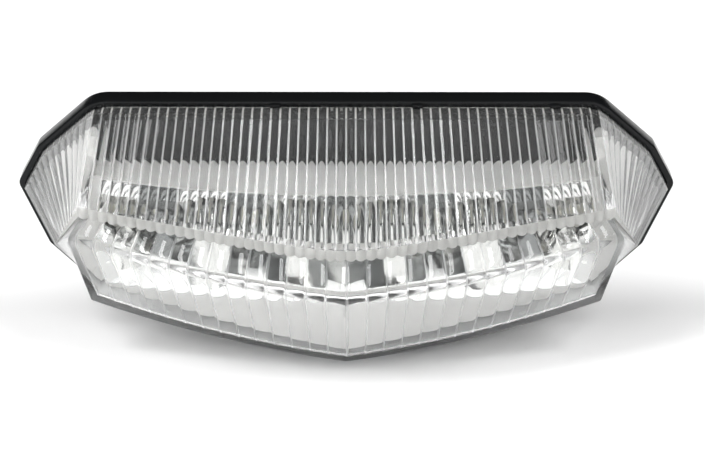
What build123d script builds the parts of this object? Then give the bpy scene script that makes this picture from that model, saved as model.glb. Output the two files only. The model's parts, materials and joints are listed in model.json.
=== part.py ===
from build123d import *
import math
import os

# Sealed LED tail light with a clear, fluted, prow-shaped lens.
# Frame: X to the right, Z up, the light shines towards -Y. The origin is the middle of
# the two mounting studs, on the mounting face, which is the back of the rubber pad.
# All sizes are in millimetres.

# Outline of the housing rim seen from the front, one half of it.
SIDE_X = 70.2  # side tip from the middle plane
TIP_Z = 6.0  # height of the side tip
TOP_Z = 24.8  # top edge
KEEL_Z = -28.2  # lowest point, on the middle plane
TOP_CORNER_IN = 16.6  # top corner, inboard of the side tip
SHOULDER_IN = 4.5  # shoulder, inboard of the side tip
SHOULDER_DROP = 10.6  # shoulder, below the top edge
LOWER_IN = 6.0  # lower corner, inboard of the side tip
LOWER_DROP = 14.2  # lower corner, below the side tip
HEEL_IN = 15.7  # heel, inboard of the side tip
HEEL_RISE = 10.3  # heel, above the keel
TOP_CORNER_R = 8.0
CORNER_R = 2.0

# Depths of the housing, from the mounting face forwards.
PAD_T = 1.5  # rubber pad
PLATEAU_H = 3.0  # raised middle of the housing's back
RIM_DEPTH = 5.5  # side wall of the rim
HOUSING_WALL = 2.0
PLATEAU_IN = 6.0  # plateau, inside the rim outline
PAD_IN = 1.0  # pad, inside the plateau outline
RIM_W = 1.5  # width of the rim's front face

# Snap bumps on the top of the rim.
BUMP_X = [-15.0, 15.0, 44.0]
BUMP_W = 2.6
BUMP_T = 0.8
BUMP_H = 0.9

# Lens.
LENS_GAP = 0.15  # between the lens and the rim
LENS_WALL = 1.8
SEAL_T = 0.8
SEAL_W = 2.2
SKIRT_D = 3.0  # plain skirt in front of the rim
LIP_Z = 4.65  # lip of the fluted cover
LIP_T = 1.85
LIP_X = 56.5
LIP_END_D = 10.0
LIP_MID_D = 31.0
LIP_EASE = 0.15  # how far the middle of the lip is rounded
WINDOW_STEP = 1.75  # the window lies this far behind the lip
WINDOW_IN = 0.9  # and this far inboard of it at each end
RIDGE_X = 58.8
RIDGE_END_D = 11.6
RIDGE_MID_D = 35.2
RIDGE_END_Z = -2.0
RIDGE_MID_Z = -5.2
RIDGE_BOW = 0.5  # share of the ridge's sweep that is curved
CHIN_X = 54.1  # bottom front edge
CHIN_END_D = 12.3
CHIN_MID_D = 20.2
CHIN_END_Z = -16.4
CHIN_MID_Z = -26.7
CHIN_BOW_D = 0.7
CHIN_BOW_Z = 0.35
STATIONS = 6  # spans of each half curve

# Reflectors.
CELL_X = [9.5, 28.4, 48.4]  # bowl axes on the right half
CELL_Z = -1.8
CELL_W = 18.2
CELL_H = 21.0
BOWL_FOCUS = 1.7
BOWL_LONG = 30.0  # bowls are cut longer than the reflector is deep
DECK_T = 1.2  # deck above the bowls and floor below them
DECK_D = 16.0  # front edge at the middle
DECK_END_D = 5.8  # front edge at ARC_X
ARC_X = 54.0
DECK_X = 52.0  # half width of the reflectors
TROUGH_TOP_D = 15.0
TROUGH_MID_D = 14.5
TROUGH_LOW_D = 20.0
TROUGH_H = 12.2
TROUGH_T = 1.2
INNER_GAP = 0.7  # inner pieces from the lens wall
WING_X = 61.0  # outer edge of the wings that line the ends of the housing
WING_T = 1.2  # wing at its outer edge
WING_Z = [-14.0, 18.0]
WING_GAP = 0.4  # from the trough's ends

# Main board and what is on it.
BOARD_X = 53.0
BOARD_TOP_Z = 9.2
BOARD_LOW_Z = -16.0
BOARD_T = 1.6
BOARD_STAND = 3.5  # board above the well floor
LED_W = 5.0
LED_T = 1.4
LED_GAP = 0.5
CHIP_W = 2.0
CHIP_H = 1.25
CHIP_T = 0.6
CHIP_Z = -8.4
DIODE_SIZE = (4.3, 2.3, 2.6)
REGULATOR_SIZE = (6.5, 2.3, 6.1)
HEADER_SIZE = (6.0, 4.5, 4.0)
DIODE_X = -19.0
REGULATOR_X = 19.0
HEADER_X = -6.0
CAPACITOR_X = 6.5
CAPACITOR_R = 3.15
CAPACITOR_H = 5.4
PART_Z = -12.2
PART_GAP = 0.4  # from each part to its pocket in the reflector

# Screws that hold the board.
SCREW_X = 38.0
SCREW_Z = [6.5, -11.5]
SCREW_R = 1.25
SCREW_GAP = 0.05
SCREW_LONG = 4.4
SCREW_HEAD_R = 2.2
SCREW_HEAD_T = 1.6
HEAD_GAP = 0.4
STANDOFF_R = 2.6

# Number plate light.
PLATE_Z = -18.0
PLATE_T = 1.2
PLATE_X = 15.0
PLATE_D = [-0.6, 9.0]
PLATE_LED_X = [-10.0, 0.0, 10.0]
PLATE_LED_D = 5.0
PLATE_LED_W = 3.5
PLATE_LED_T = 1.0
RAIL_X = 12.0
RAIL_W = 2.0
RAIL_H = 2.0
RAIL_D = 6.0

# Fixings and fittings on the back.
STUD_SPACING = 50.0
STUD_R = 3.0
STUD_OUT = 14.0
STUD_NECK_R = 3.5  # plain neck through the wall and the pad
STUD_GAP = 0.1
STUD_HEAD_R = 5.0
STUD_HEAD_T = 1.8
STUD_TIP = 0.8
GROMMET_Z = -14.0
GROMMET_R = 3.5
GROMMET_FLANGE_R = 4.8
GROMMET_FLANGE_T = 1.2
GROMMET_TIP_R = 2.9
GROMMET_OUT = 6.0
CABLE_R = 1.6
VENT_Z = 13.0
VENT_R = 2.0
VENT_CAP_R = 3.6
VENT_CAP_T = 1.1
VENT_BARB_R = 2.6
VENT_BARB_T = 1.0
PAD_HOLE_GAP = 0.5

# Planes of the housing, worked out from its depths. Forwards is -Y.
PAD_Y = -PAD_T
STEP_Y = PAD_Y - PLATEAU_H
RIM_Y = STEP_Y - RIM_DEPTH
FLOOR_Y = STEP_Y - HOUSING_WALL
WELL_Y = PAD_Y - HOUSING_WALL
SEAL_Y = FLOOR_Y - SEAL_T
BOARD_BACK_Y = WELL_Y - BOARD_STAND
BOARD_Y = BOARD_BACK_Y - BOARD_T
LENS_INSET = RIM_W + LENS_GAP
INNER_INSET = LENS_INSET + LENS_WALL + INNER_GAP
DECK_Z = CELL_Z + CELL_H / 2 + DECK_T
SHELF_Z = CELL_Z - CELL_H / 2 - DECK_T
CELLS = [-x for x in reversed(CELL_X)] + CELL_X


def front(depth):
    """Y of a point that lies depth in front of the rim's face."""
    return RIM_Y - depth


def prism(sketch, y_back, y_front):
    """Solid of a sketch in X and Z, from y_back forwards to y_front."""
    return extrude(Plane.XZ.offset(-y_back) * sketch, amount=y_back - y_front)


def block(x, y, z):
    """Box between two values on each axis."""
    size = [hi - lo for lo, hi in (x, y, z)]
    middle = [(hi + lo) / 2 for lo, hi in (x, y, z)]
    return Pos(*middle) * Box(*size)


def rod(x, z, radius, y_back, y_front):
    """Round bar along Y."""
    return prism(Pos(x, z) * Circle(radius), y_back, y_front)


def rim_corners():
    """Corners of the rim outline, clockwise from the right top corner to the keel and on."""
    half = [
        (SIDE_X - TOP_CORNER_IN, TOP_Z),
        (SIDE_X - SHOULDER_IN, TOP_Z - SHOULDER_DROP),
        (SIDE_X, TIP_Z),
        (SIDE_X - LOWER_IN, TIP_Z - LOWER_DROP),
        (SIDE_X - HEEL_IN, KEEL_Z + HEEL_RISE),
        (0.0, KEEL_Z),
    ]
    return half + [(-x, z) for x, z in reversed(half[:-1])]


def inset_corners(inset):
    """Corners of the rim outline moved inwards by one distance from every edge."""
    corners = rim_corners()
    count = len(corners)
    moved = []
    for i in range(count):
        before = Vector(*corners[i]) - Vector(*corners[i - 1])
        after = Vector(*corners[(i + 1) % count]) - Vector(*corners[i])
        a = before.normalized()
        b = after.normalized()
        turn = math.radians(a.get_angle(b))
        inwards = (b - a).normalized()
        moved.append(Vector(*corners[i]) + inwards * (inset / math.cos(turn / 2)))
    return [(p.X, p.Y) for p in moved]


def outline(inset):
    """Rim outline as a sketch, moved inwards, with its corners rounded to match."""
    shape = make_face(Polyline(*inset_corners(inset), close=True))
    top = shape.vertices().sort_by(Axis.Y)[-2:]
    shape = fillet(top, max(TOP_CORNER_R - inset, CORNER_R / 4))
    rest = [v for v in shape.vertices() if abs(v.Y) < TIP_Z + LOWER_DROP and v.Y < TOP_Z / 2]
    return fillet(rest, max(CORNER_R - inset, CORNER_R / 4))


# ---------------------------------------------------------------- housing
def rear_housing():
    """Black tray: rim, floor, deeper middle, standoffs, rails and snap bumps."""
    body = prism(outline(0), STEP_Y, RIM_Y) + prism(outline(PLATEAU_IN), PAD_Y, STEP_Y)
    body -= prism(outline(RIM_W), FLOOR_Y, RIM_Y)
    body -= prism(outline(PLATEAU_IN + HOUSING_WALL), WELL_Y, FLOOR_Y)
    for z in SCREW_Z:
        for x in (-SCREW_X, SCREW_X):
            body += rod(x, z, STANDOFF_R, WELL_Y, BOARD_BACK_Y)
            body -= rod(x, z, SCREW_R + SCREW_GAP, WELL_Y, BOARD_BACK_Y)
    for x in (-RAIL_X, RAIL_X):
        width = (x - RAIL_W / 2, x + RAIL_W / 2)
        body += block(width, (front(RAIL_D), FLOOR_Y), (PLATE_Z, PLATE_Z + RAIL_H))
        body += block(width, (FLOOR_Y, WELL_Y), (PLATE_Z, PLATE_Z + RAIL_H))
    inner_top = TOP_Z - RIM_W
    for x in BUMP_X:
        bump = (x - BUMP_W / 2, x + BUMP_W / 2)
        body += block(bump, (front(BUMP_T), RIM_Y), (inner_top, inner_top + BUMP_H))
    for x in (-STUD_SPACING / 2, STUD_SPACING / 2):
        body -= rod(x, 0, STUD_NECK_R + STUD_GAP, PAD_Y, WELL_Y)
    body -= rod(0, GROMMET_Z, GROMMET_R, PAD_Y, WELL_Y)
    body -= rod(0, VENT_Z, VENT_R, PAD_Y, WELL_Y)
    return body


def base_pad():
    """Rubber pad between the housing and the panel it is bolted to."""
    pad = prism(outline(PLATEAU_IN + PAD_IN), 0, PAD_Y)
    for x in (-STUD_SPACING / 2, STUD_SPACING / 2):
        pad -= rod(x, 0, STUD_NECK_R + STUD_GAP, 0, PAD_Y)
    pad -= rod(0, GROMMET_Z, GROMMET_FLANGE_R + PAD_HOLE_GAP, 0, PAD_Y)
    pad -= rod(0, VENT_Z, VENT_CAP_R + PAD_HOLE_GAP, 0, PAD_Y)
    return pad


def stud(x):
    """Threaded stud with a plain neck in the wall and a round head inside the housing."""
    shank = rod(x, 0, STUD_R, STUD_OUT, 0)
    shank = chamfer(shank.edges().sort_by(Axis.Y)[-1], STUD_TIP)
    neck = rod(x, 0, STUD_NECK_R, 0, WELL_Y)
    return shank + neck + rod(x, 0, STUD_HEAD_R, WELL_Y, WELL_Y - STUD_HEAD_T)


def cable_grommet():
    """Rubber gland in the back wall: a flange each side, and a tapered nose outside."""
    body = rod(0, GROMMET_Z, GROMMET_R, PAD_Y, WELL_Y)
    body += rod(0, GROMMET_Z, GROMMET_FLANGE_R, WELL_Y, WELL_Y - GROMMET_FLANGE_T)
    body += rod(0, GROMMET_Z, GROMMET_FLANGE_R, PAD_Y + GROMMET_FLANGE_T, PAD_Y)
    nose_y = PAD_Y + GROMMET_FLANGE_T
    nose = loft([
        Plane.XZ.offset(-nose_y) * Pos(0, GROMMET_Z) * Circle(GROMMET_R),
        Plane.XZ.offset(-GROMMET_OUT) * Pos(0, GROMMET_Z) * Circle(GROMMET_TIP_R),
    ])
    return body + nose - rod(0, GROMMET_Z, CABLE_R, GROMMET_OUT, WELL_Y - GROMMET_FLANGE_T)


def vent_plug():
    """Breather plug with its membrane cap in a hole of the pad."""
    body = rod(0, VENT_Z, VENT_CAP_R, PAD_Y + VENT_CAP_T, PAD_Y)
    body += rod(0, VENT_Z, VENT_R, PAD_Y, WELL_Y)
    return body + rod(0, VENT_Z, VENT_BARB_R, WELL_Y, WELL_Y - VENT_BARB_T)


def lens_seal():
    """Ring of sealant between the lens's base and the housing floor."""
    ring = outline(LENS_INSET) - outline(LENS_INSET + SEAL_W)
    return prism(ring, FLOOR_Y, SEAL_Y)


# ---------------------------------------------------------------- lens
def eased_v(t):
    """Rounded V: 0 at t = 0, 1 at t = 1, and nearly straight away from the middle."""
    top = math.hypot(t, LIP_EASE) - LIP_EASE
    return top / (math.hypot(1, LIP_EASE) - LIP_EASE)


def bowed(t, share):
    """Line from 0 to 1 of which a share is a square law."""
    return t * (1 - share) + t * t * share


def shrink(point, wall):
    """A point (x, depth, z) of the lens, drawn in by one wall towards the base's middle."""
    x, depth, z = point
    x *= 1 - wall / SIDE_X
    depth *= 1 - wall / RIDGE_MID_D
    z *= 1 - wall / TOP_Z
    return Vector(x, front(depth), z)


def lens_curves(side, wall):
    """The lens's long curves on one side, each a list of points from its end to the middle."""
    curves = {"lip": [], "lip_low": [], "window": [], "ridge": [], "chin": []}
    for i in range(STATIONS + 1):
        t = 1 - i / STATIONS
        lip_d = LIP_MID_D + (LIP_END_D - LIP_MID_D) * eased_v(t)
        lip_x = LIP_X * t
        window_x = (LIP_X - WINDOW_IN) * t
        curves["lip"].append((lip_x, lip_d, LIP_Z))
        curves["lip_low"].append((lip_x, lip_d, LIP_Z - LIP_T))
        curves["window"].append((window_x, lip_d - WINDOW_STEP, LIP_Z - LIP_T))
        sweep = bowed(t, RIDGE_BOW)
        ridge_d = RIDGE_MID_D + (RIDGE_END_D - RIDGE_MID_D) * sweep
        ridge_z = RIDGE_MID_Z + (RIDGE_END_Z - RIDGE_MID_Z) * t
        curves["ridge"].append((RIDGE_X * t, ridge_d, ridge_z))
        chin_d = CHIN_MID_D + (CHIN_END_D - CHIN_MID_D) * bowed(t, CHIN_BOW_D)
        chin_z = CHIN_MID_Z + (CHIN_END_Z - CHIN_MID_Z) * bowed(t, CHIN_BOW_Z)
        curves["chin"].append((CHIN_X * t, chin_d, chin_z))
    return {
        name: [shrink((side * x, depth, z), wall) for x, depth, z in points]
        for name, points in curves.items()
    }


def lens_corners(side, wall):
    """Corners of the skirt's front edge on one side, top middle first, keel last."""
    full = inset_corners(LENS_INSET)[:6]
    top, shoulder = Vector(*full[0]), Vector(*full[1])
    setback = (TOP_CORNER_R - LENS_INSET) * math.tan(
        math.radians(Vector(1, 0).get_angle(shoulder - top)) / 2
    )
    eased = [
        (0.0, full[0][1]),
        (top.X - setback, top.Y),
        tuple((top + (shoulder - top).normalized() * setback))[:2],
    ]
    return [shrink((side * x, SKIRT_D, z), wall) for x, z in eased + full[1:]]


def flat(*points):
    """Flat face through corner points."""
    return Face(Wire.make_polygon(points, close=True))


def between(curve_a, curve_b):
    """Ruled face between two curves that run the same way."""
    edges = []
    for curve in (curve_a, curve_b):
        edges.append(Edge.make_line(*curve) if len(curve) == 2 else Edge.make_spline(curve))
    return Face.make_surface_from_curves(*edges)


def lens_half(side, wall, base_y):
    """Faces of one half of the lens form, without its base."""
    c = lens_curves(side, wall)
    top_mid, top_in, top_out, shoulder, tip, lower, heel, keel = lens_corners(side, wall)
    lip_end, lip_low_end, window_end = c["lip"][0], c["lip_low"][0], c["window"][0]
    ridge_end, chin_end = c["ridge"][0], c["chin"][0]
    upper = (shoulder - top_out).length
    share = upper / (upper + (tip - shoulder).length)
    seam = lip_end + (lower - lip_end) * share
    ledge = Wire([
        Edge.make_spline(c["lip_low"]),
        Edge.make_line(c["lip_low"][-1], c["window"][-1]),
        Edge.make_spline(c["window"]),
        Edge.make_line(window_end, lip_low_end),
    ])
    faces = [
        between([top_in, top_mid], c["lip"]),
        flat(top_in, top_out, lip_end),
        between([top_out, shoulder], [lip_end, seam]),
        between([shoulder, tip], [seam, lower]),
        between(c["lip"], c["lip_low"]),
        flat(lip_end, seam, lower, lip_low_end),
        Face(ledge),
        flat(lip_low_end, lower, window_end),
        between(c["window"], c["ridge"]),
        between(c["ridge"], c["chin"]),
        between(c["chin"], [heel, keel]),
        flat(window_end, ridge_end, lower),
        between([ridge_end, chin_end], [lower, heel]),
    ]
    skirt = [top_mid, top_in, top_out, shoulder, tip, lower, heel, keel]
    for a, b in zip(skirt[:-1], skirt[1:]):
        faces.append(flat(a, b, Vector(b.X, base_y, b.Z), Vector(a.X, base_y, a.Z)))
    return faces


def lens_form(wall, base_y):
    """Closed outer form of the lens, or the hollow inside it when wall is not 0."""
    right = lens_corners(1, wall)
    left = lens_corners(-1, wall)
    ring = [Vector(p.X, base_y, p.Z) for p in right + left[::-1][1:-1]]
    return Solid(Shell(lens_half(1, wall, base_y) + lens_half(-1, wall, base_y) + [flat(*ring)]))


def lens():
    """One-piece clear lens: skirt, fluted cover, stepped window and lower face."""
    return lens_form(0, SEAL_Y) - lens_form(LENS_WALL, SEAL_Y + LENS_WALL)


def lens_room():
    """Space inside the lens that the reflectors may fill, clear of its wall."""
    return lens_form(LENS_WALL + INNER_GAP, SEAL_Y + LENS_WALL)


# ---------------------------------------------------------------- reflectors
def arc_radius():
    """Radius in plan of the reflectors' front edge."""
    drop = DECK_D - DECK_END_D
    return (ARC_X**2 + drop**2) / (2 * drop)


def bowl(x):
    """Space of one parabolic bowl, clipped to its cell."""
    steps = 8
    points = []
    for i in range(steps + 1):
        along = BOWL_LONG * (i / steps) ** 2
        points.append(Vector(x + 2 * math.sqrt(BOWL_FOCUS * along), BOARD_Y - along, CELL_Z))
    end = Vector(x, BOARD_Y - BOWL_LONG, CELL_Z)
    profile = Wire([
        Edge.make_spline(points),
        Edge.make_line(points[-1], end),
        Edge.make_line(end, points[0]),
    ])
    round_bowl = revolve(Face(profile), Axis((x, 0, CELL_Z), (0, 1, 0)), 360)
    inside = DECK_X - DECK_T
    cell = block(
        (max(x - CELL_W / 2, -inside), min(x + CELL_W / 2, inside)),
        (BOARD_Y - BOWL_LONG, BOARD_Y),
        (CELL_Z - CELL_H / 2, CELL_Z + CELL_H / 2),
    )
    return round_bowl & cell


def wing():
    """Plated wedge for the right end of the housing, sloping back from the deck's end."""
    near = DECK_X + WING_GAP
    corners = [(near, BOARD_Y), (WING_X, BOARD_Y), (WING_X, BOARD_Y - WING_T)]
    slope = make_face(Polyline(*corners, (near, front(DECK_END_D)), close=True))
    wedge = extrude(Pos(0, 0, WING_Z[0]) * slope, WING_Z[1] - WING_Z[0], dir=(0, 0, 1))
    ear_x = (DECK_X - DECK_T, near + DECK_T)
    return wedge + block(ear_x, (front(DECK_END_D), BOARD_Y), (SHELF_Z, DECK_Z))


def upper_reflector():
    """Plated block with a deck, an arc-shaped front, two wings and a bowl for each LED."""
    radius = arc_radius()
    body = block((-DECK_X, DECK_X), (front(DECK_D), BOARD_Y), (SHELF_Z, DECK_Z))
    body &= Pos(0, front(DECK_D) + radius, CELL_Z) * Cylinder(radius, 2 * CELL_H)
    body += wing() + mirror(wing(), about=Plane.YZ)
    body &= lens_room()
    pocket = LED_W / 2 + LED_GAP
    for x in CELLS:
        body -= bowl(x)
        body -= block(
            (x - pocket, x + pocket),
            (BOARD_Y - LED_T - LED_GAP, BOARD_Y),
            (CELL_Z - pocket, CELL_Z + pocket),
        )
    head_y = BOARD_Y - SCREW_HEAD_T - HEAD_GAP
    for z in SCREW_Z:
        for x in (-SCREW_X, SCREW_X):
            body -= rod(x, z, SCREW_HEAD_R + HEAD_GAP, BOARD_Y, head_y)
    for room in part_rooms():
        body -= room
    return body


def lower_reflector():
    """Hollow plated trough under the bowls, swept on the same arc."""
    radius = arc_radius()
    low_z = SHELF_Z - TROUGH_H
    mid_z = SHELF_Z - TROUGH_H / 2
    face_arc = ThreePointArc(
        (0, front(TROUGH_TOP_D), SHELF_Z),
        (0, front(TROUGH_MID_D), mid_z),
        (0, front(TROUGH_LOW_D), low_z),
    )
    back_arc = ThreePointArc(
        (0, front(TROUGH_TOP_D - TROUGH_T), SHELF_Z),
        (0, front(TROUGH_MID_D - TROUGH_T), mid_z),
        (0, front(TROUGH_LOW_D - TROUGH_T), low_z),
    )
    ends = [Line(face_arc @ 0, back_arc @ 0), Line(face_arc @ 1, back_arc @ 1)]
    section = make_face([face_arc, back_arc] + ends)
    axis = Axis((0, front(DECK_D) + radius, 0), (0, 0, 1))
    whole = revolve(section, axis, 360)
    wide = block((-DECK_X, DECK_X), (front(RIDGE_MID_D), 0), (KEEL_Z, TOP_Z))
    return whole & wide & lens_room()


# ---------------------------------------------------------------- electronics
def main_board():
    """Board that carries the tail LEDs, shaped to the housing and drilled for its screws."""
    board = block((-BOARD_X, BOARD_X), (BOARD_Y, BOARD_BACK_Y), (BOARD_LOW_Z, BOARD_TOP_Z))
    board &= prism(outline(INNER_INSET), 0, front(0))
    for z in SCREW_Z:
        for x in (-SCREW_X, SCREW_X):
            board -= rod(x, z, SCREW_R + 2 * SCREW_GAP, BOARD_BACK_Y, BOARD_Y)
    return board


def board_part(x, z, size):
    """Plain electronic part standing on the front of the main board."""
    width, tall, high = size
    return block(
        (x - width / 2, x + width / 2), (BOARD_Y - tall, BOARD_Y), (z - high / 2, z + high / 2)
    )


def part_rooms():
    """Pockets that the reflector's back needs for the parts on the board."""
    placed = [(x, CHIP_Z, (CHIP_W, CHIP_T, CHIP_H)) for x in CELLS]
    placed.append((DIODE_X, PART_Z, DIODE_SIZE))
    placed.append((REGULATOR_X, PART_Z, REGULATOR_SIZE))
    placed.append((HEADER_X, PART_Z, HEADER_SIZE))
    rooms = []
    for x, z, (width, tall, high) in placed:
        grown = (width + 2 * PART_GAP, tall + PART_GAP, high + 2 * PART_GAP)
        rooms.append(board_part(x, z, grown))
    can_y = BOARD_Y - CAPACITOR_H - PART_GAP
    rooms.append(rod(CAPACITOR_X, PART_Z, CAPACITOR_R + PART_GAP, BOARD_Y, can_y))
    return rooms


def resistors():
    """One chip resistor under each tail LED."""
    return [board_part(x, CHIP_Z, (CHIP_W, CHIP_T, CHIP_H)) for x in CELLS]


def board_screws():
    """Four pan-head screws."""
    screws = []
    for z in SCREW_Z:
        for x in (-SCREW_X, SCREW_X):
            shank = rod(x, z, SCREW_R, BOARD_Y + SCREW_LONG, BOARD_Y)
            screws.append(shank + rod(x, z, SCREW_HEAD_R, BOARD_Y, BOARD_Y - SCREW_HEAD_T))
    return screws


def plate_board():
    """Small board, level, that hangs under the rails and lights the number plate."""
    return block(
        (-PLATE_X, PLATE_X),
        (front(PLATE_D[1]), front(PLATE_D[0])),
        (PLATE_Z - PLATE_T, PLATE_Z),
    )


def plate_led(x):
    """LED under the plate board, shining down."""
    half = PLATE_LED_W / 2
    y = front(PLATE_LED_D)
    top = PLATE_Z - PLATE_T
    return block((x - half, x + half), (y - half, y + half), (top - PLATE_LED_T, top))


def build_parts():
    """Every sub-part by its node name."""
    parts = {
        "rear_housing": rear_housing(),
        "base_pad": base_pad(),
        "stud_left": stud(-STUD_SPACING / 2),
        "stud_right": stud(STUD_SPACING / 2),
        "cable_grommet": cable_grommet(),
        "vent_plug": vent_plug(),
        "lens_seal": lens_seal(),
        "lens": lens(),
        "upper_reflector": upper_reflector(),
        "lower_reflector": lower_reflector(),
        "main_board": main_board(),
        "board_screws": Compound(children=board_screws()),
        "resistors": Compound(children=resistors()),
        "diode": board_part(DIODE_X, PART_Z, DIODE_SIZE),
        "regulator": board_part(REGULATOR_X, PART_Z, REGULATOR_SIZE),
        "wire_header": board_part(HEADER_X, PART_Z, HEADER_SIZE),
        "capacitor": rod(CAPACITOR_X, PART_Z, CAPACITOR_R, BOARD_Y, BOARD_Y - CAPACITOR_H),
        "plate_board": plate_board(),
    }
    for number, x in enumerate(CELLS, start=1):
        parts[f"tail_led_{number}"] = board_part(x, CELL_Z, (LED_W, LED_T, LED_W))
    for number, x in enumerate(PLATE_LED_X, start=1):
        parts[f"plate_led_{number}"] = plate_led(x)
    return parts


os.makedirs("parts", exist_ok=True)
for name, shape in build_parts().items():
    shape.label = name
    export_step(shape, f"parts/{name}.step")
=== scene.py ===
"""Visual model of a sealed LED tail light with a clear, fluted, prow-shaped lens.

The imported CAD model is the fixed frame. Sizes are in millimetres in the row frame, with
depths measured forwards from the rim's front face, and meshes are written in metres.
"""

from __future__ import annotations

import json
import logging
import math
from dataclasses import dataclass
from enum import Enum, IntEnum

import bmesh
import bpy
import numpy as np
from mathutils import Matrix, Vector

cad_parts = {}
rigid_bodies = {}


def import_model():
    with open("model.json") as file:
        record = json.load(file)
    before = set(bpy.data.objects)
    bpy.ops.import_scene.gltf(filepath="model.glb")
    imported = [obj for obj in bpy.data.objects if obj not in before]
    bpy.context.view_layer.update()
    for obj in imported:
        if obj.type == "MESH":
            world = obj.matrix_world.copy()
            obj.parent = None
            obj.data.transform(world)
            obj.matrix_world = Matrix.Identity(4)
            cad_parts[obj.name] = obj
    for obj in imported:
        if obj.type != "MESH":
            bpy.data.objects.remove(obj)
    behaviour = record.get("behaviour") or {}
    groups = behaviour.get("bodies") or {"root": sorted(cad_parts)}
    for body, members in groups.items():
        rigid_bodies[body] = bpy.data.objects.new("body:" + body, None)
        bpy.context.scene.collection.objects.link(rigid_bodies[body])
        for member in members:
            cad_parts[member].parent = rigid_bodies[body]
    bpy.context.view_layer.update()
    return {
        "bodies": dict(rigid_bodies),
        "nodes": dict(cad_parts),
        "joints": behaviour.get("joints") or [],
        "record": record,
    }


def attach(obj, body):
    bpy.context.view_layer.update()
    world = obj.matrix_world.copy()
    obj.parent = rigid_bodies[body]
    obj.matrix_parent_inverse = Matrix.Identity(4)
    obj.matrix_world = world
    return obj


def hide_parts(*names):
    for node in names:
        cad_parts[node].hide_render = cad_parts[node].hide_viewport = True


Array = np.ndarray
BMesh = bmesh.types.BMesh
Material = bpy.types.Material
Pair = tuple[float, float]
Triple = tuple[float, float, float]

LOG = logging.getLogger("tail_light")
MM = 0.001
BODY = "root"
RIM_Y = -10.0
STUD_X = 25.0
STUD_HOLE_R = 3.6
GROMMET_Z = -14.0
VENT_Z = 13.0
# Rows of satin finish that start each flute line: painted highlight dots.
HIGHLIGHT_TIP_ROWS = 3


class Skin(IntEnum):
    """Surface finishes of the lens, in the order of its material slots."""

    CLEAR = 0
    SATIN = 1
    # Frosted lines along the valleys are painted highlight lines; the same frosted finish also
    # covers the side walls and underside.
    FROST_AND_HIGHLIGHT = 2
    MILKY = 3


# ---------------------------------------------------------------- shader expressions
class Wire:
    """A node's output socket that can be used in Python arithmetic."""

    def __init__(self, net: Net, socket: bpy.types.NodeSocket) -> None:
        """Wraps one socket of a net."""
        self.net = net
        self.socket = socket

    def math(self, operation: str, *others: Wire | float, first: bool = True) -> Wire:
        """Adds one Math node.

        Args:
            operation: Name of the Math node's operation.
            others: The other operands, wires or plain numbers.
            first: True if this wire is the first operand.

        Returns:
            The node's result.
        """
        operands = [self, *others] if first else [*others, self]
        sockets = {i: value for i, value in enumerate(operands)}
        return self.net.node("ShaderNodeMath", {"operation": operation}, sockets)

    def __add__(self, other: Wire | float) -> Wire:
        """Sum."""
        return self.math("ADD", other)

    __radd__ = __add__

    def __sub__(self, other: Wire | float) -> Wire:
        """Difference."""
        return self.math("SUBTRACT", other)

    def __rsub__(self, other: Wire | float) -> Wire:
        """Difference with the plain number first."""
        return self.math("SUBTRACT", other, first=False)

    def __mul__(self, other: Wire | float) -> Wire:
        """Product."""
        return self.math("MULTIPLY", other)

    __rmul__ = __mul__

    def __truediv__(self, other: Wire | float) -> Wire:
        """Quotient."""
        return self.math("DIVIDE", other)

    def __rtruediv__(self, other: Wire | float) -> Wire:
        """Quotient with the plain number first."""
        return self.math("DIVIDE", other, first=False)

    def above(self, edge: float) -> Wire:
        """1 where this wire is over an edge value, else 0."""
        return self.math("GREATER_THAN", edge)


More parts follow.
